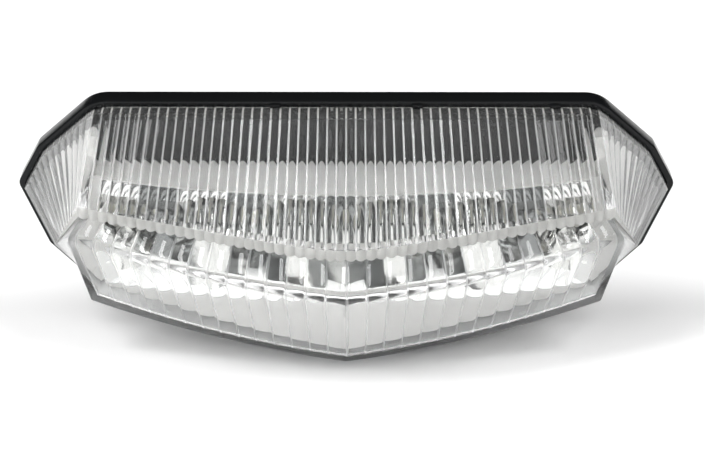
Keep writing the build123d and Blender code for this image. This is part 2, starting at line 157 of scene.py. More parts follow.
class Net:
    """The node tree of a material or world, built from expressions."""

    def __init__(self, name: str, library: str = "materials") -> None:
        """Starts an empty tree in a new material or world."""
        self.owner = getattr(bpy.data, library).new(name)
        self.owner.use_nodes = True
        self.tree = self.owner.node_tree
        self.tree.nodes.clear()

    def node(
        self,
        kind: str,
        settings: dict | None = None,
        sockets: dict | None = None,
        output: int | str = 0,
    ) -> Wire:
        """Adds one node.

        Args:
            kind: Blender's node type.
            settings: Properties, set first.
            sockets: Values or wires for the node's inputs, by name or number.
            output: Which output to return.

        Returns:
            The chosen output.
        """
        node = self.tree.nodes.new(kind)
        for key, value in (settings or {}).items():
            setattr(node, key, value)
        for key, value in (sockets or {}).items():
            if isinstance(value, Wire):
                self.tree.links.new(value.socket, node.inputs[key])
            elif isinstance(value, tuple) and node.inputs[key].type == "RGBA":
                node.inputs[key].default_value = (*value, 1.0)
            else:
                node.inputs[key].default_value = value
        return Wire(self, node.outputs[output] if node.outputs else None)

    def place(self) -> Wire:
        """Object coordinates, which are the row frame in metres."""
        return self.node("ShaderNodeTexCoord", output="Object")

    def axis(self, index: int) -> Wire:
        """One of the object coordinates in millimetres."""
        return self.node("ShaderNodeSeparateXYZ", sockets={0: self.place()}, output=index) / MM

    def noise(self, scale: float, detail: float = 4.0, rough: float = 0.55) -> Wire:
        """Noise from 0 to 1 with scale features per metre."""
        sockets = {"Vector": self.place(), "Scale": scale, "Detail": detail, "Roughness": rough}
        return self.node("ShaderNodeTexNoise", sockets=sockets)

    def blend(self, share: Wire | float, low: tuple | Wire, high: tuple | Wire) -> Wire:
        """Mix of two colours."""
        sockets = {0: share, 6: low, 7: high}
        return self.node("ShaderNodeMix", {"data_type": "RGBA"}, sockets, output=2)

    def clipped(self, value: Wire) -> Wire:
        """A value held between 0 and 1."""
        return value.math("MAXIMUM", 0.0).math("MINIMUM", 1.0)

    def ramp(self, axis: int, start: float, end: float) -> Wire:
        """Share that goes from 0 to 1 between two places on an axis, in millimetres."""
        return self.clipped((self.axis(axis) - start) / (end - start))

    def between(self, pitch: float) -> Wire:
        """Share that is 1 half-way between lamps set a pitch apart, and 0 in front of each."""
        # The mask of the painted dark reflection in the plated reflector bowls.
        wave = (self.axis(0) * (math.tau / pitch) + self.noise(90.0, 2.0) * 0.8).math("COSINE")
        return self.clipped(wave * 2.0 + 0.2)

    def bump(self, height: Wire, depth: float) -> Wire:
        """Normal from a height between 0 and 1, depth millimetres deep."""
        return self.node("ShaderNodeBump", sockets={"Height": height, "Distance": depth * MM})

    def surface(self, **sockets: object) -> Material:
        """Ends the tree in a Principled shader.

        Args:
            sockets: Its inputs, with underscores for spaces.

        Returns:
            The finished material.
        """
        named = {key.replace("_", " "): value for key, value in sockets.items()}
        shader = self.node("ShaderNodeBsdfPrincipled", sockets=named)
        self.node("ShaderNodeOutputMaterial", sockets={"Surface": shader})
        return self.owner


# ---------------------------------------------------------------- finishes
@dataclass(frozen=True)
class ClearPlastic:
    """Clear, milky or grained polycarbonate with a trace of flow waviness and haze."""

    name: str
    haze: float = 0.0
    clarity: float = 0.97
    grained: bool = False
    tint: Triple = (0.985, 0.99, 0.988)

    def make(self) -> Material:
        """Builds the material."""
        net = Net(self.name)
        patches = net.noise(90.0, 3.0)
        fine = net.noise(5200.0 if self.grained else 260.0, 2.0)
        spread, dark, depth = (0.06, 0.8, 0.05) if self.grained else (0.02, 0.97, 0.0015)
        shade = tuple(dark * channel for channel in self.tint)
        rough = self.haze + (patches - 0.5) * spread
        return net.surface(
            Base_Color=net.blend(fine if self.grained else patches, self.tint, shade),
            Roughness=rough.math("MAXIMUM", 0.0),
            IOR=1.5,
            Transmission_Weight=self.clarity,
            Normal=net.bump(fine, depth),
        )


@dataclass(frozen=True)
class Moulded:
    """Opaque moulded plastic or rubber with fine grain, flow mottling and a little dust."""

    name: str
    colour: Triple
    rough: float
    grain_scale: float = 2600.0
    grain_depth: float = 0.01
    dust: float = 0.15
    coat: float = 0.0
    gloss: float = 0.5

    def make(self) -> Material:
        """Builds the material."""
        net = Net(self.name)
        mottle = net.noise(140.0, 5.0)
        specks = net.noise(3800.0, 2.0)
        dusty = net.clipped((specks - 0.66) * 14) * self.dust
        pale = tuple(min(1.0, 0.12 + c) for c in self.colour)
        base = net.blend(mottle, self.colour, tuple(0.82 * c for c in self.colour))
        return net.surface(
            Base_Color=net.blend(dusty, base, pale),
            Roughness=self.rough + (mottle - 0.5) * 0.12 + dusty * 0.3,
            Specular_IOR_Level=self.gloss,
            Coat_Weight=self.coat,
            Coat_Roughness=0.08,
            Normal=net.bump(net.noise(self.grain_scale, 3.0), self.grain_depth),
        )


@dataclass(frozen=True)
class Metal:
    """Bare, plated or vacuum-metallised metal with faint ripples or a brushed grain."""

    name: str
    colour: Triple
    rough: float
    ripple: float = 0.004
    ripple_scale: float = 500.0
    stain: float = 0.04

    def make(self) -> Material:
        """Builds the material."""
        net = Net(self.name)
        cloud = net.noise(160.0, 4.0)
        dark = tuple(c * (1 - 2 * self.stain) for c in self.colour)
        return net.surface(
            Base_Color=net.blend(cloud, self.colour, dark),
            Metallic=1.0,
            Roughness=(self.rough + (cloud - 0.5) * self.stain).math("MAXIMUM", 0.01),
            Normal=net.bump(net.noise(self.ripple_scale, 3.0), self.ripple),
        )


@dataclass(frozen=True)
class Plated:
    """Reflector finish: bright metallised bowls, with a deck and wings left satin white.

    The bowls carry a painted dark reflection half-way between the lamps, above the
    height where that fades.
    """

    name: str
    bright: Triple = (0.95, 0.95, 0.94)
    plain: Triple = (0.96, 0.95, 0.93)
    # Colour of the painted dark reflection in the bowls.
    painted_reflection_tone: Triple = (0.26, 0.27, 0.27)
    cloudy: Triple = (0.55, 0.55, 0.54)
    pitch: float = 19.2
    # Heights over which the painted dark reflection in the bowls fades in.
    painted_reflection_z: Pair = (-10.5, -6.0)
    deck_z: float = 9.6
    wing_x: float = 52.1

    def make(self) -> Material:
        """Builds the material."""
        net = Net(self.name)
        side = net.axis(0).math("ABSOLUTE").above(self.wing_x)
        plain = net.axis(2).above(self.deck_z).math("MAXIMUM", side)
        cloud = net.noise(150.0, 4.0)
        # Painted dark reflection: half-way between the lamps, fading in with height.
        dark = net.between(self.pitch) * net.ramp(2, *self.painted_reflection_z)
        base = net.blend(plain, net.blend(dark, self.bright, self.painted_reflection_tone), self.plain)
        return net.surface(
            Base_Color=net.blend(cloud * 0.12, base, self.cloudy),
            Metallic=1.0 - plain,
            Roughness=0.05 + plain * 0.4 + cloud * 0.03,
            Normal=net.bump(net.noise(700.0, 3.0), 0.006),
        )


@dataclass(frozen=True)
class Trough:
    """Lower reflector finish: mirror bright at the top, satin towards the bottom."""

    name: str
    bright: Triple = (0.95, 0.95, 0.94)
    plain: Triple = (0.90, 0.89, 0.87)
    cloudy: Triple = (0.5, 0.5, 0.49)
    fade_z: Pair = (-13.0, -16.0)

    def make(self) -> Material:
        """Builds the material."""
        net = Net(self.name)
        plain = net.ramp(2, *self.fade_z)
        cloud = net.noise(150.0, 4.0)
        base = net.blend(plain, self.bright, self.plain)
        return net.surface(
            Base_Color=net.blend(cloud * 0.12, base, self.cloudy),
            Metallic=1.0 - plain * 0.8,
            Roughness=0.06 + plain * 0.45 + cloud * 0.03,
            Normal=net.bump(net.noise(500.0, 3.0), 0.008),
        )


@dataclass(frozen=True)
class Finishes:
    """Every finish of the object, by use."""

    clear: ClearPlastic = ClearPlastic("clear_polycarbonate")
    satin: ClearPlastic = ClearPlastic("satin_polycarbonate", 0.45, 0.5, True, (0.66, 0.66, 0.64))
    # Frosted finish; where it lines the flutes it is a painted highlight.
    frost_and_highlight: ClearPlastic = ClearPlastic("frost_and_painted_highlight", 0.2, 0.72)
    milky: ClearPlastic = ClearPlastic("milky_polycarbonate", 0.2, 0.74)
    housing: Moulded = Moulded(
        "black_abs", (0.006, 0.0065, 0.007), 0.22, 900.0, 0.003, dust=0.03, gloss=0.22
    )
    rubber: Moulded = Moulded("black_rubber", (0.02, 0.02, 0.02), 0.75, 2200.0, 0.03, 0.3)
    vent: Moulded = Moulded("vent_plastic", (0.07, 0.07, 0.075), 0.55)
    silicone: Moulded = Moulded("silicone", (0.72, 0.72, 0.70), 0.45)
    mask: Moulded = Moulded("solder_mask", (0.015, 0.03, 0.02), 0.3, 1500.0, 0.004, 0.03, 0.4)
    epoxy: Moulded = Moulded("moulded_epoxy", (0.025, 0.025, 0.026), 0.5)
    nylon: Moulded = Moulded("natural_nylon", (0.78, 0.77, 0.72), 0.4)
    package: Moulded = Moulded("led_package", (0.85, 0.84, 0.79), 0.35)
    phosphor: Moulded = Moulded("led_resin", (0.74, 0.72, 0.60), 0.12, 2000.0, 0.002, 0.02, 0.6)
    zinc: Metal = Metal("zinc_plate", (0.62, 0.62, 0.60), 0.28, 0.006, 1600.0, 0.1)
    can: Metal = Metal("aluminium_can", (0.7, 0.7, 0.7), 0.25)
    plated: Plated = Plated("plated_reflector")
    trough: Trough = Trough("plated_trough")


def dress(frame: dict, names: tuple[str, ...], material: Material) -> None:
    """Gives CAD nodes one material in place of their own."""
    for name in names:
        mesh = frame["nodes"][name].data
        mesh.materials.clear()
        mesh.materials.append(material)
        mesh.polygons.foreach_set("material_index", np.zeros(len(mesh.polygons), dtype=np.int32))
        LOG.info("%s: %s", name, material.name)


# ---------------------------------------------------------------- meshes
@dataclass
class Sheet:
    """One grid of points, rows by columns by 3, in millimetres, and its material slot.

    If every is set, a line of frosted finish lies at every such column, a painted highlight
    along the valley: the spans on both sides of the column, or only the one after it if the
    line is thin. Wide lines start in a satin tip, a painted highlight dot.
    """

    points: Array
    slot: int = Skin.CLEAR
    every: int = 0
    thin: bool = False

    def slots(self) -> Array:
        """Material slot of each quad."""
        rows, columns = self.points.shape[:2]
        slots = np.full((rows - 1, columns - 1), int(self.slot))
        if self.every:
            place = np.arange(columns - 1) % self.every
            line = (place == 0) | ((place == self.every - 1) & (not self.thin))
            slots[:, line] = Skin.FROST_AND_HIGHLIGHT
            # Lines of frosted finish along the valleys: painted highlight lines.
            if not self.thin:
                # Satin tips at the top of each wide line: painted highlight dots.
                slots[:HIGHLIGHT_TIP_ROWS, line] = Skin.SATIN
        return slots.ravel()

    def quads(self) -> Array:
        """Corner numbers of the grid's quads, within this sheet."""
        rows, columns = self.points.shape[:2]
        first = (np.arange(rows - 1)[:, None] * columns + np.arange(columns - 1)).ravel()
        return np.stack([first, first + 1, first + columns + 1, first + columns], axis=1)


def raw_mesh(sheets: list[Sheet]) -> BMesh:
    """Joins sheets into one editable mesh in metres.

    Args:
        sheets: Grids that share the points along their common edges.

    Returns:
        A mesh whose shared points are merged.
    """
    points, faces, slots, start = [], [], [], 0
    for sheet in sheets:
        points.append(sheet.points.reshape(-1, 3) * MM)
        faces.append(sheet.quads() + start)
        slots.append(sheet.slots())
        start += len(points[-1])
    mesh = bpy.data.meshes.new("work")
    mesh.from_pydata(np.concatenate(points).tolist(), [], np.concatenate(faces).tolist())
    mesh.polygons.foreach_set("material_index", np.concatenate(slots).astype(np.int32))
    work = bmesh.new()
    work.from_mesh(mesh)
    bpy.data.meshes.remove(mesh)
    bmesh.ops.remove_doubles(work, verts=work.verts, dist=0.002 * MM)
    bmesh.ops.dissolve_degenerate(work, edges=work.edges, dist=0.001 * MM)
    return work


def open_edges(work: BMesh) -> list[bmesh.types.BMEdge]:
    """Edges with one face."""
    return [edge for edge in work.edges if edge.is_boundary]


def add_object(
    name: str,
    work: BMesh,
    materials: list[Material],
    sharp_deg: float = 30.0,
) -> bpy.types.Object:
    """Turns an editable mesh into a finished piece on the root body.

    Args:
        name: The piece's name.
        work: A closed mesh. It is freed.
        materials: The piece's material slots.
        sharp_deg: Edges that turn more than this stay crisp.

    Returns:
        The new object.
    """
    bmesh.ops.recalc_face_normals(work, faces=work.faces)
    mesh = bpy.data.meshes.new(name)
    work.to_mesh(mesh)
    work.free()
    mesh.polygons.foreach_set("use_smooth", np.ones(len(mesh.polygons), dtype=bool))
    mesh.set_sharp_from_angle(angle=math.radians(sharp_deg))
    for material in materials:
        mesh.materials.append(material)
    piece = bpy.data.objects.new(name, mesh)
    bpy.context.scene.collection.objects.link(piece)
    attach(piece, BODY)
    LOG.info("%s: %d faces", name, len(mesh.polygons))
    return piece


def lerp(start: Array, end: Array, share: Array) -> Array:
    """Straight mix of two point arrays; share is broadcast over the last axis."""
    return start + (end - start) * share[..., None]


def rounded(share: Array) -> Array:
    """Quarter circle sqrt(1 - (1 - share)^2), from 0 at the start to 1 at a whole share."""
    return np.sqrt(1 - (1 - np.clip(share, 0, 1)) ** 2)


def along(path: Array, shares: Array) -> Array:
    """Points at shares of a polyline's length."""
    steps = np.linalg.norm(np.diff(path, axis=0), axis=1)
    reach = np.concatenate([[0.0], np.cumsum(steps)]) / steps.sum()
    return np.stack([np.interp(shares, reach, path[:, i]) for i in range(path.shape[1])], axis=-1)


def rounded_corner(a: Array, b: Array, c: Array, radius: float, steps: int) -> Array:
    """Quadratic curve that eases the corner at b on the way from a to c.

    The curve starts one radius before b and ends one radius after it:
    P(t) = (1-t)^2 A + 2t(1-t) B + t^2 C with A and C on the two straight runs.

    Args:
        a: Points before the corner, columns by 3.
        b: Corner points.
        c: Points after the corner.
        radius: Length that is cut from each run.
        steps: Spans of the curve.

    Returns:
        steps + 1 rows of points.
    """
    before = b + (a - b) * (radius / np.linalg.norm(a - b, axis=-1))[..., None]
    after = b + (c - b) * (radius / np.linalg.norm(c - b, axis=-1))[..., None]
    t = np.linspace(0, 1, steps + 1)[:, None, None]
    return (1 - t) ** 2 * before + 2 * t * (1 - t) * b + t**2 * after


def grid_normals(points: Array, towards: Array) -> Array:
    """Unit normals of a grid, turned to the side that a direction points to."""
    normal = np.cross(np.gradient(points, axis=0), np.gradient(points, axis=1))
    normal /= np.linalg.norm(normal, axis=-1, keepdims=True) + 1e-12
    side = np.sign(normal @ towards)
    side[side == 0] = 1
    return normal * side[..., None]


# ---------------------------------------------------------------- outline
@dataclass(frozen=True)
class RimOutline:
    """Outline of the housing rim seen from the front: corners of the right half."""

    corners: tuple[Pair, ...] = (
        (53.6, 24.8),
        (65.7, 14.2),
        (70.2, 6.0),
        (64.2, -8.2),
        (54.5, -17.9),
        (0.0, -28.2),
    )
    top_z: float = 15.0
    top_radius: float = 8.0
    corner_radius: float = 2.0
    arc_steps: int = 8

    def inset(self, distance: float) -> Array:
        """All corners moved inwards by one distance from each edge, clockwise."""
        right = np.array(self.corners)
        left = right[:-1][::-1] * [-1, 1]
        full = np.concatenate([right, left])
        before = full - np.roll(full, 1, axis=0)
        after = np.roll(full, -1, axis=0) - full
        a = before / np.linalg.norm(before, axis=1, keepdims=True)
        b = after / np.linalg.norm(after, axis=1, keepdims=True)
        inwards = (b - a) / np.linalg.norm(b - a, axis=1, keepdims=True)
        half_turn = np.arccos(np.clip((a * b).sum(axis=1), -1, 1)) / 2
        return full + inwards * (distance / np.cos(half_turn))[:, None]

    def loop(self, distance: float) -> Array:
        """Closed outline with rounded corners, moved inwards by a distance.

        Each corner is an arc of its radius less the distance, in equal steps of angle, so
        loops at different distances have matching points.

        Args:
            distance: How far inside the rim's edge the loop runs.

        Returns:
            Points (x, z), corner arc by corner arc.
        """
        full = self.inset(distance)
        points = []
        for i, corner in enumerate(full):
            radius = self.top_radius if corner[1] > self.top_z else self.corner_radius
            radius = max(radius - distance, 0.3)
            a = full[i - 1] - corner
            b = full[(i + 1) % len(full)] - corner
            a /= np.linalg.norm(a)
            b /= np.linalg.norm(b)
            half = math.acos(np.clip(a @ b, -1, 1)) / 2
            middle = corner + (a + b) / np.linalg.norm(a + b) * radius / math.sin(half)
            start = corner + a * radius / math.tan(half) - middle
            end = corner + b * radius / math.tan(half) - middle
            turn = np.linspace(0, math.pi - 2 * half, self.arc_steps + 1)
            weight = np.stack([np.sin(turn[-1] - turn), np.sin(turn)]) / math.sin(turn[-1])
            points.append(middle + weight[0][:, None] * start + weight[1][:, None] * end)
        return np.concatenate(points)


OUTLINE = RimOutline()


def at_depth(x: Array, depth: Array, z: Array) -> Array:
    """Points of the row frame from x, depth in front of the rim, and z."""
    x, depth, z = np.broadcast_arrays(x, depth, z)
    return np.stack([x, RIM_Y - depth, z], axis=-1)


# ---------------------------------------------------------------- lens
class Side(Enum):
    """The two surfaces of the lens wall."""

    OUTER = "outer"
    INNER = "inner"


@dataclass
class Lens:
    """Clear one-piece lens: fluted cover, satin lip, window, prow ridge and lower face."""

    skins: list[Material]
    inset: float = 1.65
    wall: float = 1.8
    base_y: float = -7.3
    skirt: float = 3.0
    top_x: float = 53.2
    lip_x: float = 56.5
    lip_z: float = 4.65
    lip_low_z: float = 2.4
    scallop: float = 0.3
    lip_mid: float = 31.0
    lip_end: float = 10.0
    lip_ease: float = 0.15
    step: float = 1.75
    step_in: float = 0.9
    inner_step: float = 0.2
    lip_push: Triple = (1.0, 1.2, 0.0)
    ridge_x: float = 58.8
    ridge_mid: Pair = (35.2, -5.2)
    ridge_end: Pair = (11.6, -2.0)
    ridge_bow: Pair = (0.5, 0.0)
    chin_x: float = 54.1
    chin_mid: Pair = (20.2, -26.7)
    chin_end: Pair = (12.3, -16.4)
    chin_bow: Pair = (0.7, 0.35)
    flutes: int = 54
    flute_depth: float = 0.55
    side_flutes: int = 12
    bands: int = 28
    band_depth: Pair = (0.34, 0.2)
    spans: int = 10
    rows: int = 5
    reach: Triple = (70.2, 35.2, 24.8)
    nose: Pair = (0.04, 0.06)
    side_taper: float = 0.35
    edge_radius: Pair = (1.1, 1.6)
    window_rows: int = 7

    def core(self, points: Array, side: Side) -> Array:
        """Draws the inner surface towards the middle of the base by one wall."""
        if side is Side.OUTER:
            return points
        middle = np.array([0, RIM_Y, 0])
        return (points - middle) * (1 - self.wall / np.array(self.reach)) + middle

    @staticmethod
    def bowed(t: Array, middle: Pair, end: Pair, bow: Pair) -> list[Array]:
        """Depth and z from the middle to the end; a share, bow, of each follows t squared."""
        return [a + (b - a) * (t * (1 - c) + t**2 * c) for a, b, c in zip(middle, end, bow)]

    def front_lines(self, u: Array, side: Side) -> dict[str, Array]:
        """The lens's long lines, from the left end (u = -1) to the right end (u = 1).

        The lip is a V in plan with a rounded middle, sqrt(u^2 + e^2); ridge and chin are
        straight lines of which a share follows u squared.

        Args:
            u: Shares of the half width.
            side: Which surface of the wall.

        Returns:
            Points along each line, by name.
        """
        t = np.abs(u)
        ease = self.lip_ease
        vee = (np.hypot(t, ease) - ease) / (math.hypot(1, ease) - ease)
        lip_d = self.lip_mid + (self.lip_end - self.lip_mid) * vee
        ridge = self.bowed(t, self.ridge_mid, self.ridge_end, self.ridge_bow)
        chin = self.bowed(t, self.chin_mid, self.chin_end, self.chin_bow)
        corners = OUTLINE.inset(self.inset)
        corner = corners[0]
        radius = OUTLINE.top_radius - self.inset
        slope = corners[1] - corner
        turn = math.atan2(-slope[1], slope[0])
        arc_x = corner[0] - radius * math.tan(turn / 2)
        top_x = self.top_x * u
        over = np.clip(np.abs(top_x) - arc_x, 0, None)
        top_z = corner[1] - radius + np.sqrt(radius**2 - over**2)
        window_d = lip_d - self.step
        if side is Side.INNER:
            lip_d = window_d + self.inner_step
        lines = {
            "top": at_depth(top_x, self.skirt, top_z),
            "lip": at_depth(self.lip_x * u, lip_d, self.lip_z),
            "lip_low": at_depth(self.lip_x * u, lip_d, self.lip_low_z),
            "window": at_depth((self.lip_x - self.step_in) * u, window_d, self.lip_low_z),
            "ridge": at_depth(self.ridge_x * u, *ridge),
            "chin": at_depth(self.chin_x * u, *chin),
        }
        heel, keel = corners[4], corners[5]
        lines["back"] = at_depth(heel[0] * u, self.skirt, keel[1] + (heel[1] - keel[1]) * t)
        return {name: self.core(line, side) for name, line in lines.items()}

    @staticmethod
    def ribs(phase: Array) -> Array:
        """Place across each rib, from -1 to 1, with 1 on the lines between ribs."""
        across = 2 * (phase - np.floor(phase)) - 1
        return np.where(np.isclose(phase, np.round(phase)), 1.0, across)

    @staticmethod
    def inner(phase: Array, count: int) -> Array:
        """Share that is 1 along the ribs and falls to 0 at the outer edge of the end ribs."""
        return np.clip(np.minimum(phase, count - phase) * 2, 0, 1)

    def fluted(self, points: Array, phase: Array, depth: Array, towards: Triple) -> Array:
        """Presses grooves between convex ribs into a smooth grid.

        Across each rib s runs from -1 to 1 and the surface lies depth * s^2 under the
        smooth one, so crests stay on it and neighbours meet in a sharp valley.

        Args:
            points: The smooth grid.
            phase: Rib number along the columns, whole at each valley.
            depth: Groove depth over the grid.
            towards: A direction out of the lens.

        Returns:
            The ribbed grid.
        """
        normals = grid_normals(points, np.array(towards))
        return points - normals * (depth * self.ribs(phase) ** 2)[..., None]

    def roof_rows(self) -> Array:
        """Row positions of cover and gussets, closer at the rounded noses of the ribs."""
        nose = self.nose[0]
        return np.concatenate([np.linspace(0, nose, 5)[:-1], np.linspace(nose, 1, 12)])

    def cover(self, lines: dict[str, Array], phase: Array, side: Side) -> Array:
        """Roof of the cover from its top edge to the lip, ribbed on the outside."""
        v = self.roof_rows()[:, None]
        grid = lerp(lines["top"][None], lines["lip"][None], v)
        if side is Side.INNER:
            return grid
        depth = self.flute_depth * rounded(v / self.nose[0]) * self.inner(phase, self.flutes)
        return self.fluted(grid, phase, depth, (0.0, -1.0, 0.45))

    def gusset(self, sign: int, side: Side) -> dict[str, Array]:
        """Fluted triangle between the cover, the rim's slope and the step line.

        Args:
            sign: 1 for the right side, -1 for the left.
            side: Which surface of the wall.

        Returns:
            The gusset grid, and the step line and the corners that the side wall needs.
        """
        corners = OUTLINE.inset(self.inset)
        arc = OUTLINE.arc_steps + 1
        loop = OUTLINE.loop(self.inset)[: 3 * arc]
        loop = loop[loop[:, 0] > self.top_x]
        top = self.front_lines(np.array([1.0]), Side.OUTER)["top"]
        outline = np.concatenate([top[:, [0, 2]], loop[: 2 * arc], corners[2:3]])
        path = at_depth(outline[:, 0], self.skirt, outline[:, 1])
        across = np.linspace(0, 1, self.side_flutes * self.spans + 1)
        lower = self.core(at_depth(corners[3][0], self.skirt, corners[3][1]), side)
        heel = self.core(at_depth(corners[4][0], self.skirt, corners[4][1]), side)
        ends = self.front_lines(np.array([1.0]), side)
        v = self.roof_rows()[:, None]
        step_line = lerp(ends["lip"], lower[None], across)
        grid = lerp(self.core(along(path, across), side)[None], step_line[None], v)
        if side is Side.OUTER:
            phase = across * self.side_flutes
            depth = self.flute_depth * (rounded(v / self.nose[1]) * (1 - self.side_taper * v))
            depth = depth * self.inner(phase, self.side_flutes)
            grid = self.fluted(grid, phase, depth, (0.8, -1.0, 0.3))
        low = lerp(ends["lip_low"][0][None], lower[None], across)
        parts = {"grid": grid, "low": low, "lower": lower, "heel": heel}
        parts["window"] = ends["window"][0]
        return {name: points * [sign, 1, 1] for name, points in parts.items()}

    def lower_front(self, lines: dict[str, Array], phase: Array, side: Side) -> Array:
        """Window, eased ridge, lower face and eased chin, down to the start of the underside.

        On the inside each band between two lines swells by depth * (1 - s^2).
        """
        radius = self.edge_radius[0] if side is Side.OUTER else self.edge_radius[1]
        ridge = rounded_corner(lines["window"], lines["ridge"], lines["chin"], radius, 6)
        chin = rounded_corner(lines["ridge"], lines["chin"], lines["back"], radius, 5)
        window_share = np.linspace(0, 1, self.window_rows + 1)[:, None]
        window = lerp(lines["window"][None], ridge[:1], window_share)
        face = lerp(ridge[-1:], chin[:1], np.linspace(0, 1, 14)[:, None])
        grid = np.concatenate([window[:-1], ridge, face[1:-1], chin])
        if side is Side.OUTER:
            return grid
        last, start = len(grid) - 1, self.window_rows
        window_depth, face_depth = self.band_depth
        stops = [0.0, window_depth, window_depth, face_depth, 0.0]
        rise = np.interp(np.arange(last + 1), [0, 1, start, 2 * start, last], stops)
        normals = grid_normals(grid, np.array([0.0, -1.0, 0.0]))
        return grid - normals * (rise[:, None] * (1 - self.ribs(phase) ** 2))[..., None]

    def surface(self, side: Side) -> list[Sheet]:
        """Every sheet of one surface of the wall, in front of the skirt."""
        outer = side is Side.OUTER
        count = self.flutes if outer else self.bands
        every, joint = (self.spans, 0) if outer else (0, self.spans)
        satin, milky = (Skin.SATIN, Skin.MILKY) if outer else (Skin.CLEAR, Skin.CLEAR)
        phase = np.linspace(0, count, count * self.spans + 1)
        lines = self.front_lines(2 * phase / count - 1, side)
        roof = self.cover(lines, phase, side)
        lip_top = roof[-1]
        push = lip_top - lines["lip"]
        scallop = np.zeros_like(lip_top)
        if outer:
            round_off = (1 - self.ribs(phase) ** 2) * self.inner(phase, count)
            scallop[:, 2] = -self.scallop * round_off
        lip_low = lines["lip_low"] + push * np.array(self.lip_push) + scallop
        down = np.linspace(0, 1, self.rows)[:, None]
        lower = self.lower_front(lines, phase, side)
        sheets = [
            Sheet(roof, every=every),
            Sheet(lerp(lip_top[None], lip_low[None], down), satin),
            Sheet(lerp(lip_low[None], lines["window"][None], down), satin),
            Sheet(lower, every=joint, thin=True),
            Sheet(lerp(lower[-1:], lines["back"][None], down), Skin.FROST_AND_HIGHLIGHT),
        ]
        for sign, column in ((-1, 0), (1, -1)):
            g = self.gusset(sign, side)
            chain = lower[:, column]
            steps = np.linalg.norm(np.diff(chain, axis=0), axis=1)
            reach = np.concatenate([[0], np.cumsum(steps)]) - steps[: self.window_rows].sum()
            share = np.clip(reach / reach[-1], 0, 1)
            back = lerp(g["lower"][None], g["heel"][None], share)
            sheets += [
                Sheet(g["grid"], milky, every),
                Sheet(lerp(g["grid"][-1:], g["low"][None], down), satin),
                Sheet(lerp(g["low"][None], g["window"][None, None], down), satin),
                Sheet(lerp(chain[None], back[None], down), Skin.FROST_AND_HIGHLIGHT),
            ]
        return sheets

    def build(self) -> bpy.types.Object:
        """Makes the lens as one closed wall and hides the CAD lens behind it."""
        shell = bmesh.new()
        for side in Side:
            part = raw_mesh(self.surface(side))
            rim = open_edges(part)
            made = bmesh.ops.extrude_edge_only(part, edges=rim)["geom"]
            for vert in (v for v in made if isinstance(v, bmesh.types.BMVert)):
                vert.co.y = self.base_y * MM
            mesh = bpy.data.meshes.new("work")
            part.to_mesh(mesh)
            part.free()
            shell.from_mesh(mesh)
            bpy.data.meshes.remove(mesh)
        loops = open_edges(shell)
        bmesh.ops.triangle_fill(shell, use_beauty=True, use_dissolve=False, edges=loops)
        LOG.info("lens open edges: %d", len(open_edges(shell)))
        piece = add_object("lens_shell", shell, self.skins, 35.0)
        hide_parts("lens")
        return piece


# ---------------------------------------------------------------- turned and lofted shapes
def closed(loop: Array) -> Array:
    """A loop with its first point repeated at the end."""
    return np.concatenate([loop, loop[:1]])


def ring_stack(stations: list[tuple[Array, float]]) -> Sheet:
    """Lofts closed (x, z) loops with matching points through planes of y."""
    rows = []
    for loop, y in stations:
        ring = closed(loop)
        rows.append(np.stack([ring[:, 0], np.full(len(ring), y), ring[:, 1]], axis=-1))
    return Sheet(np.stack(rows))


def circle(x: float, z: float, radius: float, count: int = 48) -> Array:
    """Points (x, z) of a circle."""
    angle = np.arange(count) / count * math.tau
    return np.stack([x + radius * np.cos(angle), z + radius * np.sin(angle)], axis=-1)


def squircle(x: float, z: float, half: float, power: float, count: int = 48) -> Array:
    """Points (x, z) of |x|^p + |z|^p = half^p: a circle at power 2, a rounded square above it."""
    angle = (np.arange(count) + 0.5) / count * math.tau
    c, s = np.cos(angle), np.sin(angle)
    reach = half / (np.abs(c) ** power + np.abs(s) ** power) ** (1 / power)
    return np.stack([x + reach * c, z + reach * s], axis=-1)


def hole_walls(grommet_r: float, vent_r: float, start: float, end: float) -> list[Sheet]:
    """Walls of the stud, grommet and vent holes between two planes of y."""
    holes = [(-STUD_X, 0.0, STUD_HOLE_R), (STUD_X, 0.0, STUD_HOLE_R)]
    holes += [(0.0, GROMMET_Z, grommet_r), (0.0, VENT_Z, vent_r)]
    return [ring_stack([(circle(x, z, r), start), (circle(x, z, r), end)]) for x, z, r in holes]


def swelled(loop: Array, shares: list[Pair]) -> Sheet:
    """Lofts one loop, scaled about its middle, through (scale, y) stations."""
    middle = loop.mean(axis=0)
    return ring_stack([(middle + (loop - middle) * share, y) for share, y in shares])


def turned(x: float, z: float, profile: list[Pair], count: int = 48) -> Sheet:
    """Revolves a profile of (radius, y) about the line through (x, z) along y."""
    angle = np.linspace(0, math.tau, count + 1)
    angle[-1] = 0.0
    radius, y = np.array(profile).T
    ring = np.stack([np.cos(angle), np.zeros_like(angle), np.sin(angle)], axis=-1)
    points = ring[None] * radius[:, None, None] + [x, 0, z]
    points[..., 1] += y[:, None]
    return Sheet(points)


def eased(profile: list[Pair], radius: float, steps: int = 3) -> list[Pair]:
    """A profile whose inner corners are each replaced by a small quadratic curve."""
    points = np.array(profile, dtype=float)
    out = [points[0]]
    for before, corner, after in zip(points[:-2], points[1:-1], points[2:]):
        a, b = before - corner, after - corner
        la, lb = np.linalg.norm(a), np.linalg.norm(b)
        cut = min(radius, 0.45 * la, 0.45 * lb)
        start, end = corner + a / la * cut, corner + b / lb * cut
        for t in np.linspace(0, 1, steps + 1):
            out.append((1 - t) ** 2 * start + 2 * t * (1 - t) * corner + t**2 * end)
    out.append(points[-1])
    return [tuple(p) for p in out]


